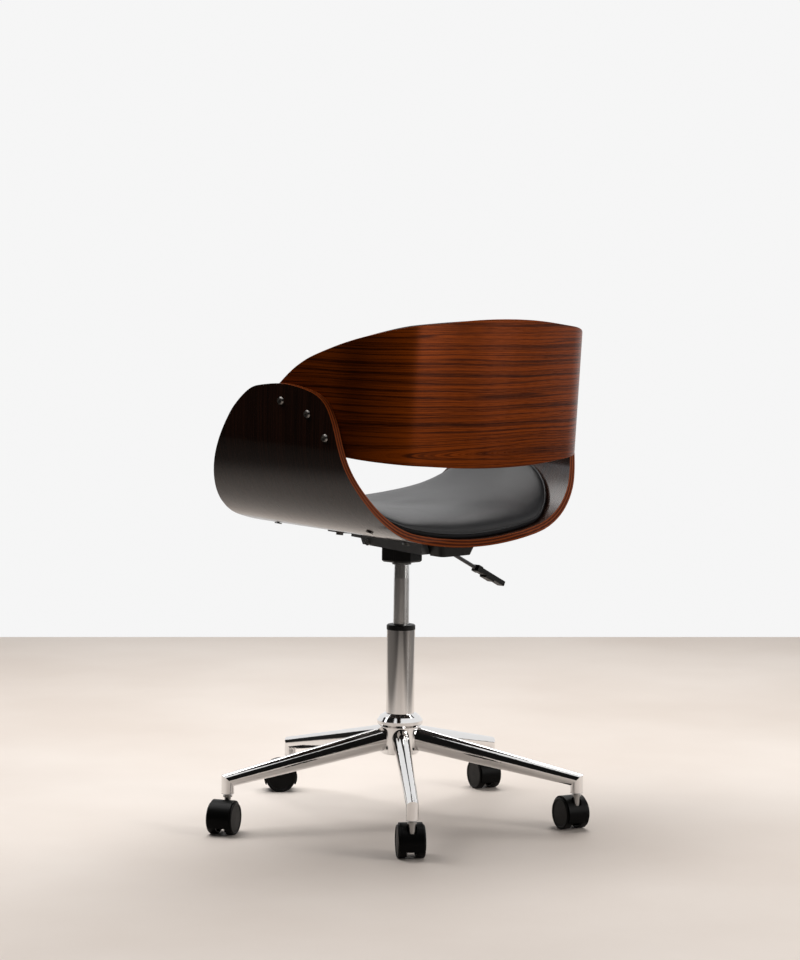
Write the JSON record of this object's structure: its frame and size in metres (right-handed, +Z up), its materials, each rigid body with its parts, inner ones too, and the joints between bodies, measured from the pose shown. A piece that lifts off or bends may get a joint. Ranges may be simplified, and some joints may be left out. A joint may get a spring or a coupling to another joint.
{
  "type": "desk chair",
  "caption": "Swivel desk chair with a bent plywood bucket seat and wrap-around back on a gas lift with a star base and twin-wheel casters.",
  "frame": {"origin": "on the swivel axis at floor level", "axes": "+Z up along the swivel axis; -Y the way the sitter faces; +X the sitter's left"},
  "size_m": [0.6929, 0.6575, 0.8881],
  "materials": {
    "chrome": "polished chrome plate",
    "cylinder_steel": "satin ground steel",
    "bright_steel": "zinc-plated steel",
    "black_nylon": "moulded nylon, low gloss",
    "wheel_nylon": "moulded nylon, low gloss",
    "caster_steel": "zinc-plated steel",
    "valve_brass": "turned brass",
    "black_casting": "black powder coat",
    "grey_pan": "grey painted pressed steel",
    "rubber": "matt rubber",
    "shell_ply": "lacquered walnut-faced plywood with a lighter edge",
    "panel_ply": "lacquered walnut-faced plywood with a lighter edge",
    "leather": "smooth black leather",
    "nickel_bolts": "nickel-plated steel"
  },
  "bodies": {
    "base": {"base_hub": "chrome", "base_leg_1": "chrome", "base_leg_2": "chrome", "base_leg_3": "chrome", "base_leg_4": "chrome", "base_leg_5": "chrome", "stem_sleeves": "black_nylon", "column_tube": "chrome", "guide_bush": "black_nylon", "thrust_bearing": "bright_steel"},
    "column_rod": {"piston_rod": "bright_steel", "retaining_clip": "bright_steel"},
    "lift": {"gas_cylinder": "cylinder_steel", "rod_guide": "black_nylon", "tilt_hub": "black_casting", "tilt_axle": "bright_steel", "tilt_springs": "bright_steel", "knob_circlip": "bright_steel"},
    "valve": {"valve_button": "valve_brass"},
    "spring_seat": {"spring_seat": "bright_steel"},
    "knob": {"tension_knob": "black_nylon"},
    "lever": {"lever_rod": "bright_steel", "lever_handle": "black_nylon"},
    "seat": {"seat_pan": "grey_pan", "rear_cover": "black_nylon", "tilt_bumper": "rubber", "seat_shell": "shell_ply", "back_panel": "panel_ply", "seat_cushion": "leather", "back_cushion": "leather", "arm_bolts": "nickel_bolts", "arm_nuts": "nickel_bolts", "pan_bolts": "nickel_bolts", "cushion_screws": "bright_steel"},
    "caster_1": {"caster_hood_1": "black_nylon", "caster_stem_1": "caster_steel", "caster_axle_1": "caster_steel"},
    "wheel_left_1": {"caster_wheel_left_1": "wheel_nylon"},
    "wheel_right_1": {"caster_wheel_right_1": "wheel_nylon"},
    "caster_2": {"caster_hood_2": "black_nylon", "caster_stem_2": "caster_steel", "caster_axle_2": "caster_steel"},
    "wheel_left_2": {"caster_wheel_left_2": "wheel_nylon"},
    "wheel_right_2": {"caster_wheel_right_2": "wheel_nylon"},
    "caster_3": {"caster_hood_3": "black_nylon", "caster_stem_3": "caster_steel", "caster_axle_3": "caster_steel"},
    "wheel_left_3": {"caster_wheel_left_3": "wheel_nylon"},
    "wheel_right_3": {"caster_wheel_right_3": "wheel_nylon"},
    "caster_4": {"caster_hood_4": "black_nylon", "caster_stem_4": "caster_steel", "caster_axle_4": "caster_steel"},
    "wheel_left_4": {"caster_wheel_left_4": "wheel_nylon"},
    "wheel_right_4": {"caster_wheel_right_4": "wheel_nylon"},
    "caster_5": {"caster_hood_5": "black_nylon", "caster_stem_5": "caster_steel", "caster_axle_5": "caster_steel"},
    "wheel_left_5": {"caster_wheel_left_5": "wheel_nylon"},
    "wheel_right_5": {"caster_wheel_right_5": "wheel_nylon"}
  },
  "joints": [
    {"name": "seat_swivel", "type": "hinge", "parent": "base", "child": "column_rod", "pos_m": [0, 0, 0.13], "axis": [0, 0, 1], "continuous": true},
    {"name": "seat_lift", "type": "slide", "parent": "column_rod", "child": "lift", "axis": [0, 0, 1], "range_m": [-0.095, 0.005]},
    {"name": "valve_press", "type": "slide", "parent": "lift", "child": "valve", "axis": [0, 0, -1], "range_m": [0, 0.0023], "stiffness_N_per_m": 1, "springref_m": -0.082},
    {"name": "lever_lift", "type": "hinge", "parent": "lift", "child": "lever", "pos_m": [-0.024, 0, 0.4913], "axis": [0, 1, 0], "range_deg": [0, 5], "stiffness_Nm_per_rad": 2.5, "springref_deg": -5.73},
    {"name": "spring_seat_travel", "type": "slide", "parent": "lift", "child": "spring_seat", "axis": [0, 0, 1], "range_m": [0, 0.0015], "deforming": ["tilt_springs"]},
    {"name": "knob_turn", "type": "hinge", "parent": "spring_seat", "child": "knob", "pos_m": [0, 0, 0.47], "axis": [0, 0, 1], "range_deg": [0, 360]},
    {"name": "seat_tilt", "type": "hinge", "parent": "lift", "child": "seat", "pos_m": [0, -0.038, 0.4935], "axis": [-1, 0, 0], "range_deg": [0, 10], "stiffness_Nm_per_rad": 40, "springref_deg": -28.65},
    {"name": "caster_swivel_1", "type": "hinge", "parent": "base", "child": "caster_1", "pos_m": [0.21327, 0.23669, 0.06], "axis": [0, 0, 1], "continuous": true},
    {"name": "wheel_spin_left_1", "type": "hinge", "parent": "caster_1", "child": "wheel_left_1", "pos_m": [0.20131, 0.22193, 0.0276], "axis": [0.7771, -0.6293, 0], "continuous": true},
    {"name": "wheel_spin_right_1", "type": "hinge", "parent": "caster_1", "child": "wheel_right_1", "pos_m": [0.20131, 0.22193, 0.0276], "axis": [0.7771, -0.6293, 0], "continuous": true},
    {"name": "caster_swivel_2", "type": "hinge", "parent": "base", "child": "caster_2", "pos_m": [-0.1592, 0.27597, 0.06], "axis": [0, 0, 1], "continuous": true},
    {"name": "wheel_spin_left_2", "type": "hinge", "parent": "caster_2", "child": "wheel_left_2", "pos_m": [-0.1657, 0.25812, 0.0276], "axis": [0.9397, -0.342, 0], "continuous": true},
    {"name": "wheel_spin_right_2", "type": "hinge", "parent": "caster_2", "child": "wheel_right_2", "pos_m": [-0.1657, 0.25812, 0.0276], "axis": [0.9397, -0.342, 0], "continuous": true},
    {"name": "caster_swivel_3", "type": "hinge", "parent": "base", "child": "caster_3", "pos_m": [-0.31166, -0.06613, 0.06], "axis": [0, 0, 1], "continuous": true},
    {"name": "wheel_spin_left_3", "type": "hinge", "parent": "caster_3", "child": "wheel_left_3", "pos_m": [-0.31816, -0.08399, 0.0276], "axis": [0.9397, -0.342, 0], "continuous": true},
    {"name": "wheel_spin_right_3", "type": "hinge", "parent": "caster_3", "child": "wheel_right_3", "pos_m": [-0.31816, -0.08399, 0.0276], "axis": [0.9397, -0.342, 0], "continuous": true},
    {"name": "caster_swivel_4", "type": "hinge", "parent": "base", "child": "caster_4", "pos_m": [-0.03341, -0.31684, 0.06], "axis": [0, 0, 1], "continuous": true},
    {"name": "wheel_spin_left_4", "type": "hinge", "parent": "caster_4", "child": "wheel_left_4", "pos_m": [-0.01886, -0.32906, 0.0276], "axis": [0.6428, 0.766, 0], "continuous": true},
    {"name": "wheel_spin_right_4", "type": "hinge", "parent": "caster_4", "child": "wheel_right_4", "pos_m": [-0.01886, -0.32906, 0.0276], "axis": [0.6428, 0.766, 0], "continuous": true},
    {"name": "caster_swivel_5", "type": "hinge", "parent": "base", "child": "caster_5", "pos_m": [0.29101, -0.12969, 0.06], "axis": [0, 0, 1], "continuous": true},
    {"name": "wheel_spin_left_5", "type": "hinge", "parent": "caster_5", "child": "wheel_left_5", "pos_m": [0.30779, -0.12077, 0.0276], "axis": [-0.4695, 0.8829, 0], "continuous": true},
    {"name": "wheel_spin_right_5", "type": "hinge", "parent": "caster_5", "child": "wheel_right_5", "pos_m": [0.30779, -0.12077, 0.0276], "axis": [-0.4695, 0.8829, 0], "continuous": true}
  ],
  "couplings": [
    {"joint": "valve_press", "follows": "lever_lift", "m_per_rad": 0.025},
    {"joint": "knob_turn", "follows": "spring_seat_travel", "rad_per_m": 4188.8}
  ]
}
